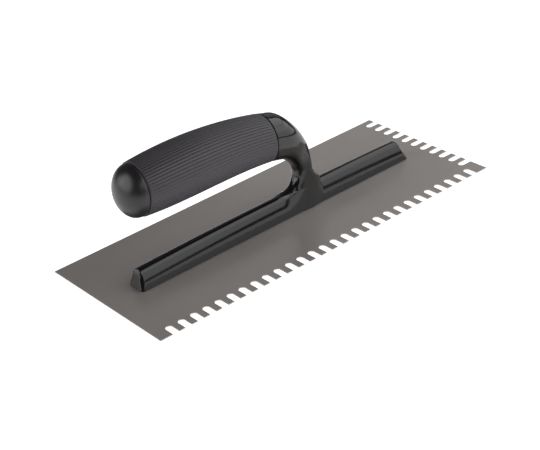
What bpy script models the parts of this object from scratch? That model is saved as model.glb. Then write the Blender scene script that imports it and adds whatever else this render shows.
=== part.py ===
"""Notched trowel: a steel blade with notches on two edges, and a moulded handle that stands on it.

Metres, +Z up. The origin is the centre of the blade's underside, +X runs along the blade towards its
notched end, and the long notched edge is at -Y.
"""

import math

import bmesh
import bpy

# Blade
BLADE_LENGTH = 0.280
BLADE_WIDTH = 0.120
BLADE_THICKNESS = 0.0007
NOTCH_WIDTH = 0.00475
NOTCH_PITCH = 0.0095
NOTCH_ARC_STEPS = 6
SIDE_NOTCH_DEPTH = 0.0098
SIDE_NOTCH_MARGIN = 0.0090
END_NOTCH_DEPTH = 0.0090
END_NOTCH_MARGIN = 0.0051

# Foot rail: its convex sides lean in to a round top, which is highest halfway along it
RAIL_START_X = -0.1165
RAIL_END_X = 0.1153
RAIL_HEIGHT = 0.0151
RAIL_CROWN = 0.0016
RAIL_SPANS = 8
RAIL_FOOT_LEAN = math.radians(10)
RAIL_SHOULDER_LEAN = math.radians(22)
RAIL_CREST_LEAN = math.radians(82)
RAIL_SIDE_STEPS = 3
RAIL_TOP_RADIUS = 0.0044
RAIL_TOP_STEPS = 4
RAIL_START_LEAN = 0.0034
RAIL_END_LEAN = 0.0054
RAIL_END_RADIUS = 0.0016
RAIL_CORNER_RADIUS = 0.0024
RAIL_CORNER_SHARE = 0.8
RAIL_CORNER_STEPS = 5

# Studs that stand on the blade and hold the rail
STUD_COUNT = 7
STUD_PITCH = 0.035
STUD_RADIUS = 0.0019
STUD_LENGTH = 0.0080
STUD_FLANGE_RADIUS = 0.0026
STUD_FLANGE_THICKNESS = 0.0008
STUD_GROOVES = 3
STUD_GROOVE_DEPTH = 0.0003
STUD_SIDES = 14

# Gooseneck, which turns about the round end of the finger gap and ends as a collar above its centre
GAP_END_X = 0.0070
COLLAR_AXIS_HEIGHT = 0.0596
COLLAR_RADIUS = 0.0167
NECK_THICKNESS = 0.0107
NECK_WEB = 0.0021
NECK_HALF_WIDTH = 0.0064
NECK_HEEL_REACH = 0.0155
NECK_POWER = 4.0
NECK_FOOT_POWER = 1.7
NECK_SWELL = 2.15
NECK_SINK = 0.0004
NECK_FOOT_RINGS = 8
NECK_RINGS = 13
HANDLE_SIDES = 48

# Grip: its axis above the blade's top, and its radius, at four places along it
BUTT_SEAM_X = -0.1046
SWELL_X = -0.080
MIDDLE_X = -0.0535
NECK_SEAM_X = -0.0026
BUTT_AXIS_HEIGHT = 0.0671
SWELL_AXIS_HEIGHT = 0.0672
MIDDLE_AXIS_HEIGHT = 0.0668
NECK_AXIS_HEIGHT = 0.0617
BUTT_RADIUS = 0.0182
SWELL_RADIUS = 0.0196
MIDDLE_RADIUS = 0.0194
NECK_RADIUS = 0.0167
GRIP_WIDTH_RATIO = 0.97
SLEEVE_RINGS = 10
FLUTES = 56
FLUTE_DEPTH = 0.0004
FLUTE_STEPS = 3
SEAM_EDGE = 0.0005

# Core inside the sleeve
CORE_NECK_RADIUS = 0.0110
CORE_BUTT_RADIUS = 0.0102

# Butt cap: a dome with a plug that snaps into the core
CAP_RADIUS = 0.0175
CAP_LENGTH = 0.0115
CAP_DROP = 0.0016
CAP_RINGS = 8
CAP_TIP_SHARE = 0.97
PLUG_RADIUS = 0.0060
PLUG_LENGTH = 0.0160
PLUG_BEAD = 0.0006
PLUG_BEAD_HALF_LENGTH = 0.0012
PLUG_BEAD_DEPTH = 0.0110

# Clearances
SEAT_GAP = 0.0003
STUD_FIT = 0.0003
CORE_FIT = 0.0003
PLUG_FIT = 0.0003
SEAM_GAP = 0.0004
CUT_MARGIN = 0.002
SHARP_ANGLE = math.radians(35)

TOOTH_WIDTH = NOTCH_PITCH - NOTCH_WIDTH
TOP_OF_BLADE = BLADE_THICKNESS
SEAT = TOP_OF_BLADE + SEAT_GAP
RAIL_TOP = TOP_OF_BLADE + RAIL_HEIGHT


def mix(first, last, share):
    return first + (last - first) * share


def steps(count):
    """Evenly spaced shares from 0 to 1."""
    return [i / count for i in range(count + 1)]


def through(points, place):
    """The value at place of the smooth curve through a few (place, value) points."""
    total = 0.0
    for i, (own, value) in enumerate(points):
        weight = 1.0
        for j, (other, _) in enumerate(points):
            if j != i:
                weight *= (place - other) / (own - other)
        total += value * weight
    return total


# The grip's arched axis and swelling radius, and the straight axis of the core inside it
def grip_axis(x):
    heights = (
        (BUTT_SEAM_X, BUTT_AXIS_HEIGHT),
        (SWELL_X, SWELL_AXIS_HEIGHT),
        (MIDDLE_X, MIDDLE_AXIS_HEIGHT),
        (NECK_SEAM_X, NECK_AXIS_HEIGHT),
    )
    return TOP_OF_BLADE + through(heights, x)


def grip_radius(x):
    radii = (
        (BUTT_SEAM_X, BUTT_RADIUS),
        (SWELL_X, SWELL_RADIUS),
        (MIDDLE_X, MIDDLE_RADIUS),
        (NECK_SEAM_X, NECK_RADIUS),
    )
    return through(radii, x)


CORE_RISE = grip_axis(NECK_SEAM_X) - grip_axis(BUTT_SEAM_X)
CORE_TILT = math.atan2(CORE_RISE, NECK_SEAM_X - BUTT_SEAM_X)
ACROSS_CORE = (-math.sin(CORE_TILT), math.cos(CORE_TILT))

GAP_RADIUS = (TOP_OF_BLADE + COLLAR_AXIS_HEIGHT - COLLAR_RADIUS - RAIL_TOP) / 2
GAP_CENTRE_Z = RAIL_TOP + GAP_RADIUS


def core_axis(x):
    return grip_axis(NECK_SEAM_X) + (x - NECK_SEAM_X) * math.tan(CORE_TILT)


def along_core(x, distance):
    """The x that lies this far along the core's axis from x, towards the neck."""
    return x + distance * math.cos(CORE_TILT)


def oval(centre, out, reaches, half_width, power, sides):
    """A closed ring of points round centre (x, z), in the plane of the direction out (x, z) and Y.

    reaches gives how far it goes behind the centre and in front of it. A power of 2 is an ellipse, and a
    higher one is squarer.
    """
    ring = []
    for i in range(sides):
        turn = 2 * math.pi * i / sides
        ahead = math.cos(turn)
        aside = math.sin(turn)
        reach = reaches[1] if ahead > 0 else reaches[0]
        u = math.copysign(abs(ahead) ** (2 / power), ahead) * reach
        v = math.copysign(abs(aside) ** (2 / power), aside) * half_width
        ring.append((centre[0] + out[0] * u, v, centre[1] + out[1] * u))
    return ring


def core_ring(x, radius):
    """A circle round the core's straight axis."""
    return oval((x, core_axis(x)), ACROSS_CORE, (radius, radius), radius, 2, HANDLE_SIDES)


def grip_ring(x, radius, sides=HANDLE_SIDES):
    """A section of the grip's outside, square to the core."""
    arch = grip_axis(x) - core_axis(x)
    centre = (x + ACROSS_CORE[0] * arch, core_axis(x) + ACROSS_CORE[1] * arch)
    return oval(centre, ACROSS_CORE, (radius, radius), radius * GRIP_WIDTH_RATIO, 2, sides)


def fluted_ring(x, radius):
    """A section of the sleeve, with a groove at every FLUTE_STEPS-th point."""
    sides = FLUTES * FLUTE_STEPS
    ring = grip_ring(x, radius, sides)
    grooves = grip_ring(x, radius - FLUTE_DEPTH, sides)
    ring[::FLUTE_STEPS] = grooves[::FLUTE_STEPS]
    return ring


def mesh_from(name, shape):
    bmesh.ops.recalc_face_normals(shape, faces=shape.faces)
    mesh = bpy.data.meshes.new(name)
    shape.to_mesh(mesh)
    shape.free()
    mesh.shade_smooth()
    mesh.set_sharp_from_angle(angle=SHARP_ANGLE)
    return mesh


def lofted(rings):
    """A closed shape through the rings, with a flat face on the first and the last."""
    shape = bmesh.new()
    rows = [[shape.verts.new(point) for point in ring] for ring in rings]
    for row, above in zip(rows, rows[1:]):
        for i in range(len(row)):
            shape.faces.new((row[i - 1], row[i], above[i], above[i - 1]))
    shape.faces.new(reversed(rows[0]))
    shape.faces.new(rows[-1])
    return shape


def loft(name, rings):
    return mesh_from(name, lofted(rings))


def turned(name, profile, sides):
    """A mesh turned round the Z axis from (radius, z) points, bottom to top."""
    turns = [2 * math.pi * i / sides for i in range(sides)]
    return loft(name, [[(r * math.cos(a), r * math.sin(a), z) for a in turns] for r, z in profile])


def material(name, colour, roughness, metallic):
    made = bpy.data.materials.new(name)
    made.use_nodes = True
    shader = made.node_tree.nodes["Principled BSDF"]
    shader.inputs["Base Color"].default_value = (*colour, 1)
    shader.inputs["Roughness"].default_value = roughness
    shader.inputs["Metallic"].default_value = metallic
    return made


def add(name, mesh, location=(0, 0, 0)):
    made = bpy.data.objects.new(name, mesh)
    made.location = location
    bpy.context.scene.collection.objects.link(made)
    return made


def combine(target, operation, name, mesh, location=(0, 0, 0)):
    """Joins a helper shape to the target, or cuts it away, and hides the helper."""
    helper = add(name, mesh, location)
    helper.hide_render = True
    helper.display_type = "WIRE"
    step = target.modifiers.new(name, "BOOLEAN")
    step.operation = operation
    step.solver = "EXACT"
    step.object = helper


# Blade
def notch(centre, depth):
    """A notch with a round inner end, as (along the edge, inwards) points."""
    radius = NOTCH_WIDTH / 2
    points = [(centre - radius, 0)]
    for share in steps(NOTCH_ARC_STEPS):
        turn = math.pi * share
        points.append((centre - radius * math.cos(turn), depth - radius + radius * math.sin(turn)))
    points.append((centre + radius, 0))
    return points


def notch_count(room):
    """How many notches fit into this length of edge, a tooth apart."""
    return int((room + TOOTH_WIDTH) / NOTCH_PITCH)


def notch_row(first, count, depth):
    return [point for i in range(count) for point in notch(first + i * NOTCH_PITCH, depth)]


def side_notches():
    """The long edge's notches, centred on it."""
    count = notch_count(BLADE_LENGTH - 2 * SIDE_NOTCH_MARGIN)
    return notch_row(-(count - 1) / 2 * NOTCH_PITCH, count, SIDE_NOTCH_DEPTH)


def end_notches():
    """The short edge's notches, counted from the plain long edge to a tooth short of the notched one."""
    count = notch_count(BLADE_WIDTH - END_NOTCH_MARGIN - SIDE_NOTCH_DEPTH - TOOTH_WIDTH)
    last = BLADE_WIDTH / 2 - END_NOTCH_MARGIN - NOTCH_WIDTH / 2
    return notch_row(last - (count - 1) * NOTCH_PITCH, count, END_NOTCH_DEPTH)


def blade_outline():
    """The blade seen from above, anticlockwise from its corner at -X, -Y."""
    end = BLADE_LENGTH / 2
    edge = BLADE_WIDTH / 2
    outline = [(-end, -edge)]
    outline += [(along, inwards - edge) for along, inwards in side_notches()]
    outline.append((end, -edge))
    outline += [(end - inwards, along) for along, inwards in end_notches()]
    outline += [(end, edge), (-end, edge)]
    return outline


def make_blade():
    outline = blade_outline()
    mesh = loft("blade", [[(x, y, z) for x, y in outline] for z in (0, BLADE_THICKNESS)])
    mesh.materials.append(material("ground_steel", (0.30, 0.28, 0.27), 0.32, 1))
    add("blade", mesh)


# Studs
def stud_places():
    middle = (RAIL_START_X + RAIL_END_X) / 2
    return [middle + (i - (STUD_COUNT - 1) / 2) * STUD_PITCH for i in range(STUD_COUNT)]


def stud_profile():
    """A flanged stud with ring grooves, as (radius, height) points from its foot."""
    points = [(STUD_FLANGE_RADIUS, 0), (STUD_FLANGE_RADIUS, STUD_FLANGE_THICKNESS)]
    points.append((STUD_RADIUS, STUD_FLANGE_THICKNESS))
    pitch = (STUD_LENGTH - STUD_FLANGE_THICKNESS) / (STUD_GROOVES + 1)
    for i in range(STUD_GROOVES):
        middle = STUD_FLANGE_THICKNESS + (i + 1) * pitch
        points.append((STUD_RADIUS, middle - STUD_GROOVE_DEPTH))
        points.append((STUD_RADIUS - STUD_GROOVE_DEPTH, middle))
        points.append((STUD_RADIUS, middle + STUD_GROOVE_DEPTH))
    points.append((STUD_RADIUS, STUD_LENGTH - STUD_GROOVE_DEPTH))
    points.append((STUD_RADIUS - STUD_GROOVE_DEPTH, STUD_LENGTH))
    return points


def make_studs():
    mesh = turned("blade_stud", stud_profile(), STUD_SIDES)
    mesh.materials.append(material("stud_steel", (0.42, 0.41, 0.40), 0.38, 1))
    for i, x in enumerate(stud_places()):
        add(f"blade_stud_{i + 1}", mesh, (x, 0, SEAT))


def socket_profile():
    """The stepped bore that a stud and its flange sit in."""
    flange = STUD_FLANGE_RADIUS + STUD_FIT
    shoulder = STUD_FLANGE_THICKNESS + STUD_FIT
    bore = STUD_RADIUS + STUD_FIT
    return [(flange, -CUT_MARGIN), (flange, shoulder), (bore, shoulder), (bore, STUD_LENGTH + STUD_FIT)]


# Shank: foot rail, gooseneck, collar and core
def rail_profile():
    """Half of the rail's section, as (half width, z) points up from its foot.

    The side is a long arc from the foot's lean to the shoulder's, and the top is a short one to the crest.
    """
    shoulder_side = RAIL_TOP_RADIUS * math.cos(RAIL_SHOULDER_LEAN)
    shoulder_z = RAIL_TOP - RAIL_TOP_RADIUS * (1 - math.sin(RAIL_SHOULDER_LEAN))
    side_radius = (shoulder_z - SEAT) / (math.sin(RAIL_SHOULDER_LEAN) - math.sin(RAIL_FOOT_LEAN))
    points = []
    for share in steps(RAIL_SIDE_STEPS):
        lean = mix(RAIL_FOOT_LEAN, RAIL_SHOULDER_LEAN, share)
        side = shoulder_side + side_radius * (math.cos(lean) - math.cos(RAIL_SHOULDER_LEAN))
        points.append((side, SEAT + side_radius * (math.sin(lean) - math.sin(RAIL_FOOT_LEAN))))
    for share in steps(RAIL_TOP_STEPS)[1:]:
        lean = mix(RAIL_SHOULDER_LEAN, RAIL_CREST_LEAN, share)
        points.append((RAIL_TOP_RADIUS * math.cos(lean), RAIL_TOP - RAIL_TOP_RADIUS * (1 - math.sin(lean))))
    return points


def rail_ring(side, z):
    """The rail's outline at one height: a long rectangle with rounded corners, shorter towards the top."""
    rise = (z - SEAT) / (RAIL_TOP - SEAT)
    over = max(0, z - RAIL_TOP + RAIL_END_RADIUS)
    rounding = RAIL_END_RADIUS - math.sqrt(RAIL_END_RADIUS**2 - over**2)
    radius = min(RAIL_CORNER_RADIUS, RAIL_CORNER_SHARE * side)
    back = RAIL_START_X + RAIL_START_LEAN * rise + rounding + radius
    front = RAIL_END_X - RAIL_END_LEAN * rise - rounding - radius
    flank = side - radius
    ring = []
    for quarter, (x, y) in enumerate(((front, flank), (back, flank), (back, -flank), (front, -flank))):
        for share in steps(RAIL_CORNER_STEPS):
            turn = (quarter + share) * math.pi / 2
            ring.append((x + radius * math.cos(turn), y + radius * math.sin(turn), z))
    return ring


def rail_form():
    """The rail, drawn with a level top and then lowered towards both ends."""
    shape = lofted([rail_ring(side, z) for side, z in rail_profile()])
    for share in steps(RAIL_SPANS)[1:-1]:
        place = (mix(RAIL_START_X, RAIL_END_X, share), 0, 0)
        whole = shape.verts[:] + shape.edges[:] + shape.faces[:]
        bmesh.ops.bisect_plane(shape, geom=whole, plane_co=place, plane_no=(1, 0, 0))
    middle = (RAIL_START_X + RAIL_END_X) / 2
    for vert in shape.verts:
        fall = RAIL_CROWN * ((vert.co.x - middle) / (RAIL_END_X - middle)) ** 2
        vert.co.z -= fall * (vert.co.z - SEAT) / (RAIL_TOP - SEAT)
    return mesh_from("rail_form", shape)


def neck_ring(z, rise):
    """A level section of the gooseneck, which spreads from the neck, at rise 1, to its foot, at rise 0."""
    front = GAP_END_X + GAP_RADIUS
    middle = front + NECK_THICKNESS / 2
    pull_in = math.sin(rise * math.pi / 2)
    toe = GAP_END_X + GAP_RADIUS * pull_in
    heel = front + NECK_THICKNESS + NECK_HEEL_REACH * (1 - pull_in)
    power = mix(NECK_FOOT_POWER, NECK_POWER, rise)
    return oval((middle, z), (1, 0), (middle - toe, heel - middle), NECK_HALF_WIDTH, power, HANDLE_SIDES)


def gooseneck_rings():
    """The neck from its foot inside the rail, up and round the end of the finger gap to the collar."""
    rings = [neck_ring(SEAT + NECK_SINK, 0)]
    for rise in steps(NECK_FOOT_RINGS):
        drop = GAP_RADIUS * math.cos(rise * math.pi / 2)
        rings.append(neck_ring(GAP_CENTRE_Z - drop - NECK_SINK * (1 - rise), rise))
    for share in steps(NECK_RINGS)[1:]:
        turn = share * math.pi / 2
        out = (math.cos(turn), math.sin(turn))
        swell = share**NECK_SWELL
        half = mix(NECK_THICKNESS / 2, COLLAR_RADIUS, swell)
        half_width = mix(NECK_HALF_WIDTH, COLLAR_RADIUS * GRIP_WIDTH_RATIO, swell)
        inner = half + NECK_WEB * math.sin(2 * turn)
        reach = GAP_RADIUS + half
        centre = (GAP_END_X + out[0] * reach, GAP_CENTRE_Z + out[1] * reach)
        rings.append(oval(centre, out, (inner, half), half_width, mix(NECK_POWER, 2, share), HANDLE_SIDES))
    return rings


def plug_rings(start, length, grow):
    """The cap's plug with its snap bead, or with grow the bore that takes it, from the butt inwards."""
    radius = PLUG_RADIUS + grow
    bead = PLUG_BEAD_HALF_LENGTH + grow
    places = (
        (start, radius),
        (PLUG_BEAD_DEPTH - bead, radius),
        (PLUG_BEAD_DEPTH, radius + PLUG_BEAD),
        (PLUG_BEAD_DEPTH + bead, radius),
        (length, radius),
    )
    return [core_ring(along_core(BUTT_SEAM_X, depth), size) for depth, size in places]


def make_shank():
    rings = gooseneck_rings()
    rings.append(grip_ring(along_core(NECK_SEAM_X, SEAM_EDGE), NECK_RADIUS))
    rings.append(grip_ring(NECK_SEAM_X, NECK_RADIUS - SEAM_EDGE))
    rings.append(core_ring(NECK_SEAM_X, CORE_NECK_RADIUS))
    rings.append(core_ring(BUTT_SEAM_X, CORE_BUTT_RADIUS))
    mesh = loft("shank", rings)
    mesh.materials.append(material("black_moulding", (0.016, 0.016, 0.018), 0.16, 0))
    shank = add("shank", mesh)
    combine(shank, "UNION", "rail_form", rail_form())
    socket = turned("stud_socket", socket_profile(), STUD_SIDES)
    for i, x in enumerate(stud_places()):
        combine(shank, "DIFFERENCE", f"stud_socket_{i + 1}", socket, (x, 0, SEAT))
    bore = loft("plug_bore", plug_rings(-CUT_MARGIN, PLUG_LENGTH + PLUG_FIT, PLUG_FIT))
    combine(shank, "DIFFERENCE", "plug_bore", bore)


# Sleeve and cap
def make_sleeve():
    front = along_core(NECK_SEAM_X, -SEAM_GAP)
    back = along_core(BUTT_SEAM_X, SEAM_GAP)
    rings = [fluted_ring(front, grip_radius(front) - SEAM_EDGE)]
    for share in steps(SLEEVE_RINGS):
        x = mix(along_core(front, -SEAM_EDGE), along_core(back, SEAM_EDGE), share)
        rings.append(fluted_ring(x, grip_radius(x)))
    rings.append(fluted_ring(back, grip_radius(back) - SEAM_EDGE))
    mesh = loft("grip_sleeve", rings)
    mesh.materials.append(material("satin_sleeve", (0.028, 0.028, 0.031), 0.42, 0))
    sleeve = add("grip_sleeve", mesh)
    bore = [core_ring(along_core(NECK_SEAM_X, CUT_MARGIN), CORE_NECK_RADIUS + CORE_FIT)]
    bore.append(core_ring(along_core(BUTT_SEAM_X, -CUT_MARGIN), CORE_BUTT_RADIUS + CORE_FIT))
    combine(sleeve, "DIFFERENCE", "sleeve_bore", loft("sleeve_bore", bore))


def make_cap():
    rings = list(reversed(plug_rings(-SEAM_GAP, PLUG_LENGTH, 0)))
    rim = along_core(BUTT_SEAM_X, -SEAM_GAP)
    rings.append(grip_ring(rim, CAP_RADIUS - SEAM_EDGE))
    for share in steps(CAP_RINGS):
        turn = share * CAP_TIP_SHARE * math.pi / 2
        x = along_core(rim, -SEAM_EDGE - (CAP_LENGTH - SEAM_EDGE) * math.sin(turn))
        radius = CAP_RADIUS * math.cos(turn)
        centre = (x, core_axis(x) - CAP_DROP * math.sin(turn))
        rings.append(oval(centre, ACROSS_CORE, (radius, radius), radius * GRIP_WIDTH_RATIO, 2, HANDLE_SIDES))
    mesh = loft("butt_cap", rings)
    mesh.materials.append(material("black_cap", (0.016, 0.016, 0.018), 0.14, 0))
    add("butt_cap", mesh)


def main():
    for old in list(bpy.data.objects):
        bpy.data.objects.remove(old)
    make_blade()
    make_studs()
    make_shank()
    make_sleeve()
    make_cap()


main()
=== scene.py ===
"""Notched trowel: the visible pieces, finishes, light and camera, built around the packed frame.

Metres, +Z up, in the frame's own axes: +X runs along the blade towards its notched end, and the
long notched edge is at -Y. The sizes and colours that a user may change are in the property groups,
and numbers that only shape a mesh or a finish are constants above the code that uses them.
"""

import math

import bpy
import numpy as np
from bpy.props import FloatProperty, FloatVectorProperty, IntProperty, PointerProperty
from mathutils import Matrix, Vector


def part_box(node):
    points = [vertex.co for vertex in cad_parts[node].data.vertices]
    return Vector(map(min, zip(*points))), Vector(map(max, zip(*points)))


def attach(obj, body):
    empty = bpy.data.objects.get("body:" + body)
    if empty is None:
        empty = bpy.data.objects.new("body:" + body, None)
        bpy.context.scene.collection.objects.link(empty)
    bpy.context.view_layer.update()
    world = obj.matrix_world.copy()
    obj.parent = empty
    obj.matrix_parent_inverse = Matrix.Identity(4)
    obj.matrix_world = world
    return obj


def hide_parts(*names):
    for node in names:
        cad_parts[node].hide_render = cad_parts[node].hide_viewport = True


bl_info = {
    "name": "Notched Trowel",
    "version": (1, 0, 0),
    "blender": (4, 5, 0),
    "location": "View3D > Sidebar > Trowel",
    "description": "Builds the visible pieces of a notched trowel around its packed frame",
    "category": "Object",
}

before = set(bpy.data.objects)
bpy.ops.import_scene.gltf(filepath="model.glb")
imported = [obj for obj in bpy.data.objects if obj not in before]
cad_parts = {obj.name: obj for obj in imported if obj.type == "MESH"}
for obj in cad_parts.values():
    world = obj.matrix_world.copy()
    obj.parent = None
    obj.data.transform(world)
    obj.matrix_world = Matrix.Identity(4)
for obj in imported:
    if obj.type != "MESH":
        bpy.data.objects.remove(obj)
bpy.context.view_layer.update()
BLADE_LOW, BLADE_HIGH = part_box("blade")
SHANK_LOW, SHANK_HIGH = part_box("shank")

BODY = "root"


def length(name, description, default):
    return FloatProperty(
        name=name, description=description, default=default, unit="LENGTH", precision=5
    )


def number(name, description, default, low=0.0, high=100.0):
    return FloatProperty(name=name, description=description, default=default, min=low, max=high)


def angle(name, description, degrees):
    return FloatProperty(
        name=name, description=description, default=math.radians(degrees), subtype="ANGLE"
    )


def count(name, description, default):
    return IntProperty(name=name, description=description, default=default, min=1)


def colour(name, description, default):
    return FloatVectorProperty(
        name=name,
        description=description,
        default=default,
        subtype="COLOR",
        size=3,
        min=0.0,
        max=1.0,
    )


# Settings
class BladeSettings(bpy.types.PropertyGroup):
    """Sizes and finish of the steel blade."""

    notch_width: length("Notch width", "Width of each notch", 0.00475)
    notch_pitch: length("Notch pitch", "Distance from one notch to the next", 0.0095)
    side_depth: length("Side notch depth", "Depth of the long edge's notches", 0.0098)
    side_margin: length("Side margin", "Least plain edge beside the long edge's notches", 0.0090)
    end_depth: length("End notch depth", "Depth of the short edge's notches", 0.0090)
    end_margin: length(
        "End margin", "Plain edge between the far corner and the short edge's notches", 0.0051
    )
    arc_steps: count("Arc steps", "Steps round the inner end of a notch", 18)
    edge_break: length("Edge break", "Width of the broken edge all round", 0.00008)
    steel: colour("Steel", "Colour of the ground steel", (0.434, 0.406, 0.390))
    roughness: number("Roughness", "Roughness of the ground steel", 0.30, 0.0, 1.0)


class ShankSettings(bpy.types.PropertyGroup):
    """Sizes and finish of the moulding: the foot rail, the gooseneck, the collar and the core."""

    rail_height: length(
        "Rail height", "Height of the rail above the blade, halfway along it", 0.0151
    )
    rail_crown: length("Rail crown", "How much lower the rail is at its ends", 0.0016)
    foot_lean: angle("Foot lean", "How much the rail's sides lean in at its foot", 10)
    shoulder_lean: angle(
        "Shoulder lean", "How much the rail's sides lean in where the round top starts", 22
    )
    top_radius: length("Top radius", "Radius of the rail's round top", 0.0044)
    start_lean: length("Nose lean", "How far the end under the grip leans in", 0.0034)
    end_lean: length("Tail lean", "How far the other end leans in", 0.0054)
    corner: length("Corner radius", "Radius of the upright edges at the rail's ends", 0.0022)
    end_edge: length("End edge radius", "Radius of the ends' top edges", 0.0009)
    gap_end: length(
        "Gap end", "Where the finger gap's round end has its centre, along the blade", 0.0060
    )
    neck_thickness: length("Neck thickness", "Thickness of the gooseneck along the blade", 0.0117)
    neck_width: length("Neck half width", "Half of the gooseneck's width", 0.0064)
    neck_web: length("Neck web", "How far the gooseneck thickens inside its bend", 0.0021)
    toe_power: number(
        "Toe squareness", "2 makes the gooseneck's toe oval, and less makes it pointed", 1.3
    )
    inner_power: number(
        "Inner squareness", "2 makes the gooseneck's inner side oval, and more makes it flat", 3.0
    )
    outer_power: number(
        "Outer squareness", "2 makes the gooseneck's outer side oval, and more makes it flat", 4.0
    )
    heel_reach: length("Heel reach", "How far the heel runs out along the rail", 0.0065)
    toe_fillet: length(
        "Toe fillet", "How softly the gooseneck runs into the rail under the grip", 0.0048
    )
    heel_fillet: length("Heel fillet", "How softly its heel runs into the rail", 0.0012)
    collar_radius: length("Collar radius", "Radius of the collar", 0.0167)
    collar_height: length("Collar height", "Height of the collar's axis above the blade", 0.0596)
    black: colour("Black", "Colour of the glossy moulding", (0.0062, 0.0064, 0.0068))
    roughness: number("Roughness", "Roughness of the glossy moulding", 0.085, 0.0, 1.0)


class GripSettings(bpy.types.PropertyGroup):
    """Sizes and finish of the fluted sleeve and the dome behind it."""

    flutes: count("Flutes", "Number of grooves round the sleeve", 56)
    flute_depth: length("Flute depth", "Depth of the grooves", 0.0004)
    flute_width: length("Flute width", "Width of the grooves", 0.0006)
    seam_edge: length("Seam edge", "Radius of the edges at the seams", 0.0005)
    seam_gap: length("Seam gap", "Gap between the sleeve and its neighbours", 0.0004)
    seam_depth: length("Seam depth", "How far in the sleeve closes the seams", 0.0012)
    cap_radius: length("Cap radius", "Radius of the dome's rim", 0.0175)
    cap_length: length("Cap length", "How far the dome stands out", 0.0125)
    cap_drop: length("Cap drop", "How far the dome's tip hangs below its axis", 0.0016)
    black: colour("Sleeve black", "Colour of the satin sleeve", (0.0310, 0.0264, 0.0328))
    roughness: number("Sleeve roughness", "Roughness of the satin sleeve", 0.40, 0.0, 1.0)
    cap_black: colour("Cap black", "Colour of the dome", (0.0115, 0.0115, 0.0125))
    cap_roughness: number("Cap roughness", "Roughness of the dome", 0.33, 0.0, 1.0)


class StudSettings(bpy.types.PropertyGroup):
    """Finish of the studs inside the rail."""

    steel: colour("Steel", "Colour of the studs", (0.46, 0.45, 0.44))
    roughness: number("Roughness", "Roughness of the studs", 0.38, 0.0, 1.0)


class StageSettings(bpy.types.PropertyGroup):
    """Floor, light and camera."""

    floor_colour: colour("Floor", "Colour of the floor", (0.86, 0.86, 0.86))
    floor_radius: length("Floor radius", "Radius of the floor", 3.0)
    floor_glow: number(
        "Floor glow", "Light that the floor gives off near the object", 0.85, 0.0, 10.0
    )
    surround: number("Surround", "Brightness of the dim studio all round", 0.05, 0.0, 10.0)
    backdrop: number(
        "Backdrop", "Brightness of the backdrop that the camera sees", 0.85, 0.0, 10.0
    )
    focal_length: number(
        "Focal length", "Camera's focal length in millimetres", 100.4993, 1.0, 1000.0
    )


# Mesh helpers
def mix(first, last, share):
    return first + (last - first) * share


def ease(share):
    """A share from 0 to 1 that starts and stops gently."""
    share = np.clip(share, 0, 1)
    return share * share * (3 - 2 * share)


def steps(parts):
    """Evenly spaced shares from 0 to 1."""
    return [i / parts for i in range(parts + 1)]


def through(points, place):
    """The value at place of the smooth curve through a few (place, value) points."""
    total = 0.0
    for i, (own, value) in enumerate(points):
        weight = 1.0
        for j, (other, _) in enumerate(points):
            if j != i:
                weight *= (place - other) / (own - other)
        total += value * weight
    return total


def mesh_of(name, points, faces, sharp_angle):
    """A smooth mesh with its edges sharp past an angle in degrees."""
    mesh = bpy.data.meshes.new(name)
    mesh.from_pydata([tuple(p) for p in points], [], faces)
    mesh.shade_smooth()
    mesh.set_sharp_from_angle(angle=math.radians(sharp_angle))
    if mesh.validate():
        raise RuntimeError(f"{name} has a faulty mesh")
    return mesh


def bands(pairs, sides):
    """Quads between pairs of rings with this many points, each ring given by its number."""
    turns = [(i, (i + 1) % sides) for i in range(sides)]
    return [
        (low * sides + i, low * sides + j, high * sides + j, high * sides + i)
        for low, high in pairs
        for i, j in turns
    ]


def loft(name, rings, sharp_angle):
    """A closed mesh through anticlockwise rings, with a flat face on the first and the last."""
    sides, last = len(rings[0]), len(rings) - 1
    faces = [tuple(reversed(range(sides)))]
    faces += bands([(row, row + 1) for row in range(last)], sides)
    faces.append(tuple(range(last * sides, (last + 1) * sides)))
    return mesh_of(name, np.concatenate(rings), faces, sharp_angle)


def tube(name, rings, sharp_angle):
    """A closed mesh through rings, the last of which joins the first."""
    rows = len(rings)
    faces = bands([(row, (row + 1) % rows) for row in range(rows)], len(rings[0]))
    return mesh_of(name, np.concatenate(rings), faces, sharp_angle)


def add_object(name, data):
    made = bpy.data.objects.new(name, data)
    bpy.context.scene.collection.objects.link(made)
    return made


def show(name, mesh, material, slot, *nodes):
    """Puts a piece in the scene in place of its CAD nodes."""
    mesh.materials.append(material)
    piece = add_object(name, mesh)
    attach(piece, BODY)
    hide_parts(*nodes)


# Grip's lines: the arched axis and the radius of the sleeve, and the straight core inside it
BUTT_SEAM = -0.1046
NECK_SEAM = -0.0026
GRIP_PLACES = (BUTT_SEAM, -0.080, -0.0535, NECK_SEAM)
GRIP_HEIGHTS = (0.0671, 0.0672, 0.0668, 0.0617)
GRIP_RADII = (0.0182, 0.0196, 0.0194, 0.0167)
# The grip's width, as a share of its height
GRIP_WIDTH = 0.97
# The core's radius at the butt and at the neck, and the room between it and the sleeve
CORE_RADII = (0.0102, 0.0110)
BORE_ROOM = 0.0003
TOP_OF_BLADE = BLADE_HIGH.z


def grip_axis(x):
    return TOP_OF_BLADE + through(list(zip(GRIP_PLACES, GRIP_HEIGHTS)), x)


def grip_radius(x):
    return through(list(zip(GRIP_PLACES, GRIP_RADII)), x)


CORE_TILT = math.atan2(grip_axis(NECK_SEAM) - grip_axis(BUTT_SEAM), NECK_SEAM - BUTT_SEAM)
ALONG_CORE = np.array((math.cos(CORE_TILT), 0, math.sin(CORE_TILT)))
ACROSS_CORE = np.array((-math.sin(CORE_TILT), 0, math.cos(CORE_TILT)))
SIDEWAYS = np.array((0, 1, 0))


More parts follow.
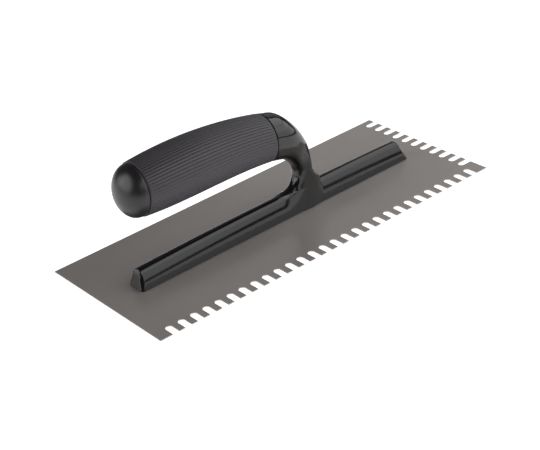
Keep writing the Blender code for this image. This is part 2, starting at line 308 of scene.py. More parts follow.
def core_axis(x):
    return grip_axis(NECK_SEAM) + (x - NECK_SEAM) * math.tan(CORE_TILT)


def along_core(x, distance):
    """The x that lies this far along the core's axis from x, towards the neck."""
    return x + distance * math.cos(CORE_TILT)


def round_core(x, lift, radii, width=1.0):
    """A ring square to the core, lifted off its axis, with a radius for each of its points."""
    radii = np.asarray(radii)[:, None]
    turns = np.linspace(0, 2 * math.pi, len(radii), endpoint=False)[:, None]
    centre = np.array((x, 0, core_axis(x))) + ACROSS_CORE * lift
    return centre + radii * (np.cos(turns) * ACROSS_CORE - np.sin(turns) * SIDEWAYS * width)


# Blade
# Degrees past which an edge stays sharp, here and for the other pieces
BLADE_SHARP = 20


def notch(settings, centre, depth):
    """A notch with a round inner end, as (along the edge, inwards) points."""
    radius = settings.notch_width / 2
    points = [(centre - radius, 0)]
    for share in steps(settings.arc_steps):
        turn = math.pi * share
        inwards = depth - radius + radius * math.sin(turn)
        points.append((centre - radius * math.cos(turn), inwards))
    points.append((centre + radius, 0))
    return points


def notch_row(settings, first, notches, depth):
    centres = [first + i * settings.notch_pitch for i in range(notches)]
    return [point for centre in centres for point in notch(settings, centre, depth)]


def notches_in(settings, room):
    """How many notches fit into this length of edge, a tooth apart."""
    tooth = settings.notch_pitch - settings.notch_width
    return int((room + tooth) / settings.notch_pitch)


def blade_outline(settings):
    """The blade seen from above, anticlockwise from its corner at -X, -Y."""
    end, edge = BLADE_HIGH.x, BLADE_HIGH.y
    tooth = settings.notch_pitch - settings.notch_width
    along = notches_in(settings, 2 * end - 2 * settings.side_margin)
    first = -(along - 1) / 2 * settings.notch_pitch
    outline = [(-end, -edge)]
    outline += [(a, i - edge) for a, i in notch_row(settings, first, along, settings.side_depth)]
    outline.append((end, -edge))
    across = notches_in(settings, 2 * edge - settings.end_margin - settings.side_depth - tooth)
    last = edge - settings.end_margin - settings.notch_width / 2
    first = last - (across - 1) * settings.notch_pitch
    outline += [(end - i, a) for a, i in notch_row(settings, first, across, settings.end_depth)]
    return outline + [(end, edge), (-end, edge)]


def drawn_in(outline, inset):
    """An anticlockwise outline drawn in by the same distance along all its edges."""
    points = np.array(outline)
    ahead = np.roll(points, -1, 0) - points
    ahead /= np.linalg.norm(ahead, axis=1)[:, None]
    inwards = np.stack((-ahead[:, 1], ahead[:, 0]), 1)
    mitre = inwards + np.roll(inwards, 1, 0)
    mitre /= (mitre * inwards).sum(1)[:, None]
    return points + mitre * inset


def blade_mesh(settings):
    outline = blade_outline(settings)
    edge = settings.edge_break
    low, high = BLADE_LOW.z, BLADE_HIGH.z
    rings = []
    for inset, z in ((edge, low), (0, low + edge), (0, high - edge), (edge, high)):
        ring = drawn_in(outline, inset)
        rings.append(np.column_stack((ring, np.full(len(ring), z))))
    return loft("blade_plate", rings, BLADE_SHARP)


# Shank: one field that is negative inside the moulding, and the mesh on its zero surface
RAIL_START, RAIL_END = SHANK_LOW.x, SHANK_HIGH.x
SEAM_ROUND = 0.0005
# Where the ends' upright edges start to sharpen and over how much they do, as shares of the height
EDGE_FROM, EDGE_OVER = 0.55, 0.35
# The heel's slope: where it starts and ends, as shares of the way down from the gap's centre to the
# rail, and how gently it does so
HEEL_FROM, HEEL_TO, HEEL_SOFTNESS = 0.17, 0.83, 0.4
# How the gooseneck swells into the collar: the power of its growth, the hollow halfway round, and
# the fullness just below the collar with the power that keeps it there
SWELL_POWER, SWELL_HOLLOW, SWELL_FULLNESS, FULLNESS_POWER = 2.15, 0.7, 1.3, 10
OVAL_POWER = 2
# How far the collar's rise is followed, in lengths of the collar
RISE_LIMIT = 1.5
# How far the core runs on into the collar
CORE_LAP = 0.004
# Keep an oval's offsets and a bend's height off zero
LEAST_OFFSET, LEAST_HEIGHT = 1e-6, 1e-9
# Drawing points onto the surface: passes, the step that measures the slope, the least squared
# slope, and the furthest move in a pass
DRAW_PASSES, SLOPE_STEP, LEAST_STEEPNESS, LONGEST_MOVE = 4, 2e-6, 0.05, 4e-4
# The grid's spacings at the rail's ends, along the plain rail, along the neck, through the rail and
# its neck, and through the collar
END_GRID, PLAIN_GRID, NECK_GRID, RAIL_GRID, COLLAR_GRID = 0.0004, 0.0016, 0.00048, 0.00033, 0.0005
# Where the grid changes: lengths of the nose and the tail, start and end of the neck along the
# blade, half widths of the rail and the collar, and the height up to which the rail's spacing runs
NOSE_ZONE, TAIL_ZONE = 0.008, 0.010
NECK_ZONE_START, NECK_ZONE_END = -0.006, 0.048
RAIL_ZONE, COLLAR_ZONE = 0.0081, 0.0175
RAIL_ZONE_TOP = 0.0190
# Room that the grid leaves beyond the ends, below the foot and above the collar
END_ROOM, FOOT_ROOM, TOP_ROOM = 0.0004, 0.0002, 0.001
# Easing of the skin where the bend runs into the collar: start and end along the blade and the
# height that it starts at, each with the distance over which it sets in, then its weight and passes
EASE_START, EASE_START_OVER = -0.0005, 0.003
EASE_END, EASE_END_OVER = 0.020, 0.006
EASE_HEIGHT, EASE_HEIGHT_OVER = 0.036, 0.006
EASE_WEIGHT, EASE_PASSES = 0.5, 40
SHANK_SHARP = 60


def rounded_max(first, second, radius):
    """The larger of two fields, with a round edge where they meet."""
    a, b = first + radius, second + radius
    outside = np.hypot(np.maximum(a, 0), np.maximum(b, 0))
    return outside + np.minimum(np.maximum(a, b), 0) - radius


def soft_min(first, second, reach):
    """The smaller of two fields, with a fillet where they meet."""
    near = np.maximum(reach - np.abs(first - second), 0) / reach
    return np.minimum(first, second) - near * near * reach / 4


def oval_field(ahead, reach, aside, half_width, power):
    """About how far a point lies outside an oval, from its offsets along the oval's two axes."""
    u = np.abs(ahead) / reach + LEAST_OFFSET
    v = np.abs(aside) / half_width + LEAST_OFFSET
    size = (u**power + v**power) ** (1 / power)
    slope = np.hypot((u / size) ** (power - 1) / reach, (v / size) ** (power - 1) / half_width)
    return (size - 1) / slope


class ShankShape:
    """The moulding's field, from its settings."""

    def __init__(self, settings):
        self.s = settings
        self.seat = SHANK_LOW.z
        self.rail_top = TOP_OF_BLADE + settings.rail_height
        self.collar_z = TOP_OF_BLADE + settings.collar_height
        self.gap_radius = (self.collar_z - settings.collar_radius - self.rail_top) / 2
        self.gap_z = self.rail_top + self.gap_radius
        self.front = settings.gap_end + self.gap_radius
        self.middle = self.front + settings.neck_thickness / 2
        self.seam_z = grip_axis(NECK_SEAM)
        foot, shoulder = math.sin(settings.foot_lean), math.sin(settings.shoulder_lean)
        self.top_z = self.rail_top - settings.top_radius
        side_height = self.top_z + settings.top_radius * shoulder - self.seat
        self.side_radius = side_height / (shoulder - foot)
        self.side_z = self.seat - self.side_radius * foot
        self.side_y = (settings.top_radius - self.side_radius) * math.cos(settings.shoulder_lean)

    def rail(self, x, y, z):
        """A long arc for each side and a short one over the top, cut off by the leaning ends."""
        s = self.s
        tall = self.rail_top - self.seat
        middle = (RAIL_START + RAIL_END) / 2
        fall = s.rail_crown * ((x - middle) / (RAIL_END - middle)) ** 2
        z = self.seat + (z - self.seat) * tall / (tall - fall)
        y = np.abs(y)
        over = math.cos(s.shoulder_lean) * (z - self.top_z) > math.sin(s.shoulder_lean) * y
        top = np.hypot(y, z - self.top_z) - s.top_radius
        side = np.hypot(y - self.side_y, z - self.side_z) - self.side_radius
        rise = np.clip((z - self.seat) / tall, 0, 1)
        nose = RAIL_START + s.start_lean * rise - x
        tail = x - RAIL_END + s.end_lean * rise
        beyond = np.maximum(nose, tail)
        edge = mix(s.corner, s.end_edge, ease((rise - EDGE_FROM) / EDGE_OVER))
        return rounded_max(np.where(over, top, side), beyond, edge)

    def foot(self, x, y, z):
        """The gooseneck below the finger gap's centre, in level sections."""
        s = self.s
        drop = np.clip((self.gap_z - z) / self.gap_radius, 0, 1)
        pull_in = np.sqrt(1 - drop * drop)
        toe = s.gap_end + self.gap_radius * pull_in
        ramp = np.clip((drop - HEEL_FROM) / (HEEL_TO - HEEL_FROM), 0, 1)
        slope = mix(ramp, ease(ramp), HEEL_SOFTNESS)
        heel = self.front + s.neck_thickness + s.heel_reach * slope
        inside = x < self.middle
        reach = np.where(inside, self.middle - toe, heel - self.middle)
        rise = np.arccos(drop) * 2 / math.pi
        power = np.where(inside, mix(s.toe_power, s.inner_power, ease(rise)), s.outer_power)
        return oval_field(x - self.middle, reach, y, s.neck_width, power)

    def bend(self, x, y, z):
        """The gooseneck round the gap's end, in sections that turn about it, and the collar."""
        s = self.s
        over = np.maximum(s.gap_end - x, 0)
        across = np.maximum(x - s.gap_end, 0)
        up = np.maximum(z - self.gap_z, LEAST_HEIGHT)
        turn = np.arctan2(up, across)
        share = turn * 2 / math.pi
        hollow = SWELL_HOLLOW * (share * (1 - share)) ** 2
        fullness = SWELL_FULLNESS * share**FULLNESS_POWER * (1 - share)
        swell = share**SWELL_POWER - hollow + fullness
        half = mix(s.neck_thickness / 2, s.collar_radius, swell)
        half_width = mix(s.neck_width, s.collar_radius * GRIP_WIDTH, ease(share))
        inner = half + s.neck_web * np.sin(2 * turn)
        run = np.clip(over / (s.gap_end - NECK_SEAM), 0, RISE_LIMIT)
        lift = (self.seam_z - self.collar_z) * run
        ahead = np.hypot(across, up) - self.gap_radius - half - lift
        reach = np.where(ahead < 0, inner, half)
        power = mix(np.where(ahead < 0, s.inner_power, s.outer_power), OVAL_POWER, ease(share))
        return oval_field(ahead, reach, y, half_width, power)

    def core(self, x, y, z):
        """The straight core inside the grip, from the collar to the butt."""
        along = (x - NECK_SEAM) * ALONG_CORE[0] + (z - self.seam_z) * ALONG_CORE[2]
        off = np.hypot(y, (x - NECK_SEAM) * ACROSS_CORE[0] + (z - self.seam_z) * ACROSS_CORE[2])
        whole = (NECK_SEAM - BUTT_SEAM) / ALONG_CORE[0]
        butt_radius, neck_radius = CORE_RADII
        radius = mix(neck_radius, butt_radius, np.clip(-along / whole, 0, 1))
        return np.maximum(off - radius, np.maximum(along - CORE_LAP, -along - whole))

    def __call__(self, points):
        """About how far points lie outside the moulding."""
        x, y, z = points[..., 0], points[..., 1], points[..., 2]
        s = self.s
        neck = np.where(z < self.gap_z, self.foot(x, y, z), self.bend(x, y, z))
        beyond = (NECK_SEAM - x) * ALONG_CORE[0] + (self.seam_z - z) * ALONG_CORE[2]
        neck = np.where(z < self.gap_z, neck, rounded_max(neck, beyond, SEAM_ROUND))
        fillet = mix(s.toe_fillet, s.heel_fillet, ease((x - self.middle) / s.neck_thickness))
        body = soft_min(self.rail(x, y, z), neck, fillet)
        return np.maximum(np.minimum(body, self.core(x, y, z)), self.seat - z)


def spaced(*zones):
    """Grid places through zones of (start, end, about how far apart)."""
    places = []
    for start, end, apart in zones:
        parts = max(1, round((end - start) / apart))
        places += [mix(start, end, i / parts) for i in range(parts)]
    return np.array(places + [zones[-1][1]])


def net(field, axes):
    """Points and quads on a field's zero surface, one point in each grid cell that it crosses."""
    grid = np.stack(np.meshgrid(*axes, indexing="ij"), -1)
    value = field(grid)
    cells = tuple(n - 1 for n in value.shape)
    total, hits = np.zeros((*cells, 3)), np.zeros(cells)
    crossings = []
    for axis in range(3):
        low = np.take(value, range(value.shape[axis] - 1), axis)
        high = np.take(value, range(1, value.shape[axis]), axis)
        found = np.argwhere((low < 0) != (high < 0))
        after = found.copy()
        after[:, axis] += 1
        a, b = value[tuple(found.T)], value[tuple(after.T)]
        share = (a / (a - b))[:, None]
        place = grid[tuple(found.T)] * (1 - share) + grid[tuple(after.T)] * share
        others = [k for k in range(3) if k != axis]
        corners = []
        for i, j in ((0, 0), (1, 0), (1, 1), (0, 1)):
            cell = found.copy()
            cell[:, others[0]] -= i
            cell[:, others[1]] -= j
            corners.append(cell)
            np.add.at(total, tuple(cell.T), place)
            np.add.at(hits, tuple(cell.T), 1)
        flip = (a < 0) == (axis == 1)
        crossings.append((corners, flip))
    used = hits > 0
    number_of = np.full(cells, -1)
    number_of[used] = np.arange(used.sum())
    points = total[used] / hits[used][:, None]
    faces = []
    for corners, flip in crossings:
        quads = np.stack([number_of[tuple(c.T)] for c in corners], 1)
        quads[flip] = quads[flip][:, ::-1]
        faces += [tuple(q) for q in quads.tolist()]
    return points, faces


def drawn_to(field, points):
    """The points moved onto the zero surface of a field."""
    moves = np.eye(3) * SLOPE_STEP
    for _ in range(DRAW_PASSES):
        rises = [(field(points + m) - field(points - m)) / (2 * SLOPE_STEP) for m in moves]
        slope = np.stack(rises, -1)
        steep = np.maximum((slope * slope).sum(-1), LEAST_STEEPNESS)
        move = np.clip(field(points) / steep, -LONGEST_MOVE, LONGEST_MOVE)
        points = points - move[:, None] * slope
    return points


def eased(points, faces, weight, passes):
    """The points drawn towards the middle of their neighbours, each by its own weight."""
    quads = np.array(faces)
    ends = np.concatenate([quads[:, (i, (i + 1) % 4)] for i in range(4)])
    ends = np.concatenate((ends, ends[:, ::-1]))
    degree = np.bincount(ends[:, 0], minlength=len(points))[:, None]
    for _ in range(passes):
        middle = np.zeros_like(points)
        for k in range(3):
            middle[:, k] = np.bincount(ends[:, 0], points[ends[:, 1], k], len(points))
        points = points + (middle / degree - points) * weight[:, None]
    return points


def shank_mesh(settings):
    shape = ShankShape(settings)
    nose, tail = RAIL_START + NOSE_ZONE, RAIL_END - TAIL_ZONE
    axes = (
        spaced(
            (RAIL_START - END_ROOM, nose, END_GRID),
            (nose, NECK_ZONE_START, PLAIN_GRID),
            (NECK_ZONE_START, NECK_ZONE_END, NECK_GRID),
            (NECK_ZONE_END, tail, PLAIN_GRID),
            (tail, RAIL_END + END_ROOM, END_GRID),
        ),
        spaced(
            (-COLLAR_ZONE, -RAIL_ZONE, COLLAR_GRID),
            (-RAIL_ZONE, RAIL_ZONE, RAIL_GRID),
            (RAIL_ZONE, COLLAR_ZONE, COLLAR_GRID),
        ),
        spaced(
            (shape.seat - FOOT_ROOM, RAIL_ZONE_TOP, RAIL_GRID),
            (RAIL_ZONE_TOP, SHANK_HIGH.z + TOP_ROOM, COLLAR_GRID),
        ),
    )
    points, faces = net(shape, axes)
    points = drawn_to(shape, points)
    x, z = points[:, 0], points[:, 2]
    soft = ease((x - EASE_START) / EASE_START_OVER) * ease((EASE_END - x) / EASE_END_OVER)
    soft = soft * ease((z - EASE_HEIGHT) / EASE_HEIGHT_OVER)
    points = eased(points, faces, EASE_WEIGHT * soft, EASE_PASSES)
    return mesh_of("shank_moulding", points, faces, SHANK_SHARP)


# Sleeve
GRIP_SHARP = 50
POINTS_PER_FLUTE = 14
# How much of a flute's depth is a thin groove, and not the hollow between round ribs
GROOVE_SHARE = 0.5
# The flutes' depth at the seams, as a share, and the distance over which it grows to the whole
SEAM_FLUTE, FLUTE_FADE = 0.5, 0.0022
# How far the sleeve lies inside its nominal radius
SLEEVE_SINK = 0.00003
# How far the lips that close the seams reach, in seam gaps
FRONT_LIP, BACK_LIP = -0.15, -0.8
SEAM_STEPS, BARREL_STEPS = 5, 90


def quarter_round(radius):
    """A round edge as (in from the end, in from the side) points, from the end on."""
    turns = [share * math.pi / 2 for share in steps(SEAM_STEPS)]
    return [(radius * (1 - math.cos(t)), radius * (1 - math.sin(t))) for t in turns]


def flute_profile(settings):
    """How deep the flutes cut at each point round the sleeve, as a share."""
    half_pitch = math.pi * GRIP_RADII[1] / settings.flutes
    share = np.arange(POINTS_PER_FLUTE) / POINTS_PER_FLUTE
    off = np.minimum(share, 1 - share) * 2 * half_pitch
    groove = ease(1 - off / (settings.flute_width / 2))
    round_rib = (1 - off / half_pitch) ** 2
    return np.tile(mix(round_rib, groove, GROOVE_SHARE), settings.flutes)


def sleeve_mesh(settings):
    cut = flute_profile(settings)
    gap, edge = settings.seam_gap, settings.seam_edge
    front, back = along_core(NECK_SEAM, -gap), along_core(BUTT_SEAM, gap)
    front_lip = along_core(NECK_SEAM, FRONT_LIP * gap)
    back_lip = along_core(BUTT_SEAM, BACK_LIP * gap)
    rings = []

    def add(x, sink, flute):
        lift = grip_axis(x) - core_axis(x)
        radii = grip_radius(x) - sink - SLEEVE_SINK - cut * (settings.flute_depth * flute)
        rings.append(round_core(x, lift, radii, GRIP_WIDTH))

    add(back, settings.seam_depth, 0)
    for off, sink in quarter_round(edge):
        add(back + off, sink, SEAM_FLUTE)
    for share in steps(BARREL_STEPS)[1:-1]:
        x = mix(back + edge, front - edge, share)
        near = min(x - back, front - x)
        add(x, 0, mix(SEAM_FLUTE, 1, float(ease(near / FLUTE_FADE))))
    for off, sink in reversed(quarter_round(edge)):
        add(front - off, sink, SEAM_FLUTE)
    add(front, settings.seam_depth, 0)
    add(front_lip, settings.seam_depth, 0)
    for x, radius in zip((front_lip, back_lip), reversed(CORE_RADII)):
        rings.append(round_core(x, 0, np.full(len(cut), radius + BORE_ROOM)))
    add(back_lip, settings.seam_depth, 0)
    return tube("sleeve_barrel", rings, GRIP_SHARP)


# Cap
CAP_SIDES = 128
DOME_STEPS = 48
# How much of a quarter turn the dome's rings cover, so that a small flat face closes its tip
DOME_SHARE = 0.995
# The plug inside the core, with its bead: (distance in from the rim, radius)
PLUG = ((0.0160, 0.0060), (0.0122, 0.0060), (0.0110, 0.0066), (0.0098, 0.0060), (0.0, 0.0060))


def cap_mesh(settings):
    rim = along_core(BUTT_SEAM, -settings.seam_gap)
    edge = settings.seam_edge
    rings = []
    for depth, radius in PLUG:
        x = along_core(BUTT_SEAM, depth - settings.seam_gap)
        rings.append(round_core(x, 0, np.full(CAP_SIDES, radius)))
    for off, sink in quarter_round(edge):
        radii = np.full(CAP_SIDES, settings.cap_radius - sink)
        rings.append(round_core(along_core(rim, -off), 0, radii, GRIP_WIDTH))
    for share in steps(DOME_STEPS)[1:]:
        turn = share * DOME_SHARE * math.pi / 2
        x = along_core(rim, -edge - (settings.cap_length - edge) * math.sin(turn))
        radii = np.full(CAP_SIDES, settings.cap_radius * math.cos(turn))
        ring = round_core(x, 0, radii, GRIP_WIDTH)
        ring[:, 2] -= settings.cap_drop * math.sin(turn)
        rings.append(ring)
    return loft("cap_dome", [ring[::-1] for ring in rings], GRIP_SHARP)


# Node helpers
def feed(tree, socket, value):
    """Sets a socket to a value, or links it to another node's output."""
    if isinstance(value, bpy.types.NodeSocket):
        tree.links.new(value, socket)
    else:
        socket.default_value = value


def put(tree, kind, **values):
    """A node with its inputs set by name, each to a value or to another node's output."""
    made = tree.nodes.new(kind)
    for name, value in values.items():
        feed(tree, made.inputs[name.replace("_", " ")], value)
    return made


def noise(tree, **values):
    """A noise texture's value."""
    return put(tree, "ShaderNodeTexNoise", **values).outputs["Fac"]


def calculate(tree, operation, first, second):
    """A Math node's output."""
    made = tree.nodes.new("ShaderNodeMath")
    made.operation = operation
    for socket, value in zip(made.inputs, (first, second)):
        feed(tree, socket, value)
    return made.outputs[0]


def remap(tree, value, low, high, to_low=0.0, to_high=1.0):
    """A value moved from one range to another, and kept there."""
    made = put(
        tree,
        "ShaderNodeMapRange",
        Value=value,
        From_Min=low,
        From_Max=high,
        To_Min=to_low,
        To_Max=to_high,
    )
    return made.outputs["Result"]


def blend(tree, factor, first, second):
    """A colour between two, each a tuple or another node's output."""
    made = tree.nodes.new("ShaderNodeMix")
    made.data_type = "RGBA"
    tree.links.new(factor, made.inputs["Factor"])
    for name, value in (("A", first), ("B", second)):
        socket = next(i for i in made.inputs if i.name == name and i.type == "RGBA")
        feed(tree, socket, (*value, 1) if isinstance(value, tuple) else value)
    return next(o for o in made.outputs if o.type == "RGBA")


def new_group(name, inputs, outputs):
    """An empty shader group with a vector and float inputs, its inlet and its outlet."""
    tree = bpy.data.node_groups.new(name, "ShaderNodeTree")
    tree.interface.new_socket("Vector", in_out="INPUT", socket_type="NodeSocketVector")
    for socket, default in inputs:
        made = tree.interface.new_socket(socket, in_out="INPUT", socket_type="NodeSocketFloat")
        made.default_value = default
    for socket in outputs:
        tree.interface.new_socket(socket, in_out="OUTPUT", socket_type="NodeSocketFloat")
    inlet, outlet = tree.nodes.new("NodeGroupInput"), tree.nodes.new("NodeGroupOutput")
    return tree, inlet.outputs, outlet.inputs


def moulded_skin_group():
    """The faint waviness and grain of a moulded skin, and its uneven patches."""
    found = bpy.data.node_groups.get("Moulded Skin")
    if found:
        return found
    tree, inlet, outlet = new_group(
        "Moulded Skin",
        (("Wave Scale", 120.0), ("Grain Scale", 2500.0), ("Grain", 0.3)),
        ("Height", "Mottle"),
    )
    place = inlet["Vector"]
    wave = noise(tree, Vector=place, Scale=inlet["Wave Scale"], Detail=2.0)
    grain = noise(tree, Vector=place, Scale=inlet["Grain Scale"], Detail=3.0)
    fine = calculate(tree, "MULTIPLY", grain, inlet["Grain"])
    tree.links.new(calculate(tree, "ADD", wave, fine), outlet["Height"])
    patches = noise(tree, Vector=place, Scale=38.0, Detail=4.0)
    tree.links.new(remap(tree, patches, low=0.35, high=0.7), outlet["Mottle"])
    return tree


# Scratches: the ways that they run, in radians, and how much narrower than long they are
SCRATCH_HEADINGS = (0.35, -0.9)
SCRATCH_STRETCH = (1.0, 22.0, 6.0)


def handling_marks_group():
    """Fine scratches and smudges from handling."""
    found = bpy.data.node_groups.get("Handling Marks")
    if found:
        return found
    tree, inlet, outlet = new_group(
        "Handling Marks", (("Scale", 60.0), ("Amount", 0.5)), ("Scratches", "Smudges")
    )
    place, amount = inlet["Vector"], inlet["Amount"]
    lines = []
    for heading in SCRATCH_HEADINGS:
        turned = put(
            tree,
            "ShaderNodeMapping",
            Vector=place,
            Rotation=(0, 0, heading),
            Scale=SCRATCH_STRETCH,
        )
        line = noise(tree, Vector=turned.outputs["Vector"], Scale=inlet["Scale"], Detail=2.0)
        lines.append(remap(tree, line, low=0.70, high=0.76))
    scratches = calculate(tree, "MAXIMUM", *lines)
    tree.links.new(calculate(tree, "MULTIPLY", scratches, amount), outlet["Scratches"])
    smear = noise(tree, Vector=place, Scale=24.0, Detail=5.0, Distortion=0.6)
    smudges = remap(tree, smear, low=0.45, high=0.75)
    tree.links.new(calculate(tree, "MULTIPLY", smudges, amount), outlet["Smudges"])
    return tree


def place_group(tree, group, vector, **values):
    """A group's outputs, with its inputs set by name."""
    made = tree.nodes.new("ShaderNodeGroup")
    made.node_tree = group
    tree.links.new(vector, made.inputs["Vector"])
    for name, value in values.items():
        made.inputs[name.replace("_", " ")].default_value = value
    return made.outputs


def new_material(name):
    """A material, its node tree, its shader and the object's own coordinates."""
    made = bpy.data.materials.new(name)
    made.use_nodes = True
    tree = made.node_tree
    shader = tree.nodes["Principled BSDF"]
    return made, tree, shader, tree.nodes.new("ShaderNodeTexCoord").outputs["Object"]


def finish_with(tree, shader, tone, rough, height, strength, depth):
    """Links a finish's colour, roughness and bump to its shader."""
    tree.links.new(tone, shader.inputs["Base Color"])
    tree.links.new(rough, shader.inputs["Roughness"])
    bump = put(tree, "ShaderNodeBump", Height=height, Strength=strength, Distance=depth)
    tree.links.new(bump.outputs["Normal"], shader.inputs["Normal"])


def shades(base, amounts):
    """A colour made darker or lighter by each of a few amounts."""
    return [tuple(min(1.0, c * amount) for c in base) for amount in amounts]


# Steel's shades: dull and bright clouds, grinding lines and scratches. Then how strongly the lines
# and the scratches show, and how much the lines and the smudges change the roughness
STEEL_SHADES = (0.95, 1.04, 0.93, 1.15)
LINE_SHOW, STEEL_SCRATCH_SHOW = 0.15, 0.35
LINE_ROUGHNESS, STEEL_SMUDGE = 0.015, 0.05
STEEL_METALLIC = 0.55
LINE_BUMP = 0.03


def steel_material(name, steel, roughness, stretch, depth):
    """Ground steel: fine grinding lines, soft cloudy tone, scratches and smudges."""
    made, tree, shader, place = new_material(name)
    stretched = put(tree, "ShaderNodeMapping", Vector=place, Scale=stretch)
    lines = noise(tree, Vector=stretched.outputs["Vector"], Scale=900.0, Detail=4.0)
    clouds = noise(tree, Vector=place, Scale=18.0, Detail=5.0, Roughness=0.6)
    marks = place_group(tree, handling_marks_group(), place, Scale=55.0, Amount=0.6)
    dull, bright, ground, scratched = shades(steel, STEEL_SHADES)
    tone = blend(tree, remap(tree, clouds, low=0.3, high=0.7), dull, bright)
    tone = blend(tree, remap(tree, lines, low=0.35, high=0.65, to_high=LINE_SHOW), tone, ground)
    scratches = calculate(tree, "MULTIPLY", marks["Scratches"], STEEL_SCRATCH_SHOW)
    tone = blend(tree, scratches, tone, scratched)
    least, most = roughness - LINE_ROUGHNESS, roughness + LINE_ROUGHNESS
    rough = remap(tree, lines, low=0.3, high=0.7, to_low=least, to_high=most)
    smudges = calculate(tree, "MULTIPLY", marks["Smudges"], STEEL_SMUDGE)
    rough = calculate(tree, "ADD", rough, smudges)
    finish_with(tree, shader, tone, rough, lines, LINE_BUMP, depth)
    shader.inputs["Metallic"].default_value = STEEL_METALLIC
    return made


# Plastic's shades: dark and light patches and scratches. Then how strongly the scratches show, and
# how much the patches and the smudges change the roughness
PLASTIC_SHADES = (0.9, 1.12, 2.2)
PLASTIC_SCRATCH_SHOW = 0.25
PATCH_ROUGHNESS = (0.92, 1.1)
PLASTIC_SMUDGE = 0.06
PLASTIC_IOR = 1.48


def moulding_material(name, black, roughness, wave, grain, strength, depth):
    """Moulded plastic: faint waviness and grain, handled patches and hairline scratches."""
    made, tree, shader, place = new_material(name)
    skin = place_group(tree, moulded_skin_group(), place, Wave_Scale=wave, Grain=grain)
    marks = place_group(tree, handling_marks_group(), place, Scale=80.0, Amount=0.5)
    dark, light, scratched = shades(black, PLASTIC_SHADES)
    tone = blend(tree, skin["Mottle"], dark, light)
    scratches = calculate(tree, "MULTIPLY", marks["Scratches"], PLASTIC_SCRATCH_SHOW)
    tone = blend(tree, scratches, tone, scratched)
    least, most = (roughness * amount for amount in PATCH_ROUGHNESS)
    rough = remap(tree, skin["Mottle"], low=0.0, high=1.0, to_low=least, to_high=most)
    smudges = calculate(tree, "MULTIPLY", marks["Smudges"], PLASTIC_SMUDGE)
    rough = calculate(tree, "ADD", rough, smudges)
    finish_with(tree, shader, tone, rough, skin["Height"], strength, depth)
    shader.inputs["IOR"].default_value = PLASTIC_IOR
    return made


# Finishes: how the grinding lines are stretched, or the scale of the waves, the share of the grain
# and the strength of the bump; depth is the bump's height
BLADE_LINES = {"stretch": (0.05, 1.0, 1.0), "depth": 0.00002}
STUD_LINES = {"stretch": (1.0, 1.0, 0.1), "depth": 0.00001}
SHANK_SKIN = {"wave": 140.0, "grain": 0.15, "strength": 0.05, "depth": 0.0002}
SLEEVE_SKIN = {"wave": 200.0, "grain": 0.6, "strength": 0.15, "depth": 0.0001}
CAP_SKIN = {"wave": 140.0, "grain": 0.2, "strength": 0.05, "depth": 0.0002}


# Operators
class TROWEL_OT_blade(bpy.types.Operator):
    """Build the notched steel blade"""

    bl_idname = "trowel.blade"
    bl_label = "Blade"

    def execute(self, context):
        settings = context.scene.trowel_blade
        finish = steel_material("ground_steel", settings.steel, settings.roughness, **BLADE_LINES)
        show("blade_plate", blade_mesh(settings), finish, "blade_steel", "blade")
        return {"FINISHED"}


class TROWEL_OT_shank(bpy.types.Operator):
    """Build the glossy moulding with the foot rail, the gooseneck and the collar"""

    bl_idname = "trowel.shank"
    bl_label = "Shank"

    def execute(self, context):
        settings = context.scene.trowel_shank
        finish = moulding_material(
            "glossy_moulding", settings.black, settings.roughness, **SHANK_SKIN
        )
        show("shank_moulding", shank_mesh(settings), finish, "shank_plastic", "shank")
        return {"FINISHED"}


class TROWEL_OT_sleeve(bpy.types.Operator):
    """Build the fluted satin sleeve of the grip"""

    bl_idname = "trowel.sleeve"
    bl_label = "Grip sleeve"

    def execute(self, context):
        settings = context.scene.trowel_grip
        finish = moulding_material(
            "satin_sleeve", settings.black, settings.roughness, **SLEEVE_SKIN
        )
        show("sleeve_barrel", sleeve_mesh(settings), finish, "sleeve_plastic", "grip_sleeve")
        return {"FINISHED"}


class TROWEL_OT_cap(bpy.types.Operator):
    """Build the dome at the end of the grip"""

    bl_idname = "trowel.cap"
    bl_label = "Butt cap"

    def execute(self, context):
        settings = context.scene.trowel_grip
        finish = moulding_material(
            "glossy_cap", settings.cap_black, settings.cap_roughness, **CAP_SKIN
        )
        show("cap_dome", cap_mesh(settings), finish, "cap_plastic", "butt_cap")
        return {"FINISHED"}


class TROWEL_OT_studs(bpy.types.Operator):
    """Give the studs inside the rail their finish"""

    bl_idname = "trowel.studs"
    bl_label = "Studs"

    def execute(self, context):
        settings = context.scene.trowel_studs
        finish = steel_material("stud_steel", settings.steel, settings.roughness, **STUD_LINES)
        for name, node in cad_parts.items():
            if name.startswith("blade_stud"):
                node.data.materials.clear()
                node.data.materials.append(finish)
        return {"FINISHED"}


# Stage: azimuths are 0 in front and 90 degrees towards the notched end.
# Softboxes: name, outline, azimuth, elevation, distance, the angles that it fills across and
# upwards, and brightness
SOFTBOXES = (
    ("right_box_top", "RECTANGLE", 60, 49, 0.9, 76, 26, 1.63),
    ("right_box_middle", "RECTANGLE", 55, 28, 0.9, 82, 16, 1.58),
    ("right_box_foot", "RECTANGLE", 52, 12, 0.9, 86, 16, 1.25),
    ("right_fade", "RECTANGLE", 132, 22, 1.6, 34, 20, 0.22),
    ("left_card", "RECTANGLE", -135, 12, 1.4, 24, 20, 1.3),
    ("left_box", "ELLIPSE", -108, 26, 1.4, 50, 46, 1.9),
    ("front_card", "RECTANGLE", -5, 33, 1.4, 44, 24, 0.9),
    ("back_card", "RECTANGLE", 153, 30, 1.6, 66, 44, 0.06),
)


# A flat light's watts for each square metre and unit of brightness
WATTS = 4
FLOOR_SIDES = 96
FLOOR_DROP = 0.0002
FLOOR_ROUGHNESS = 0.9
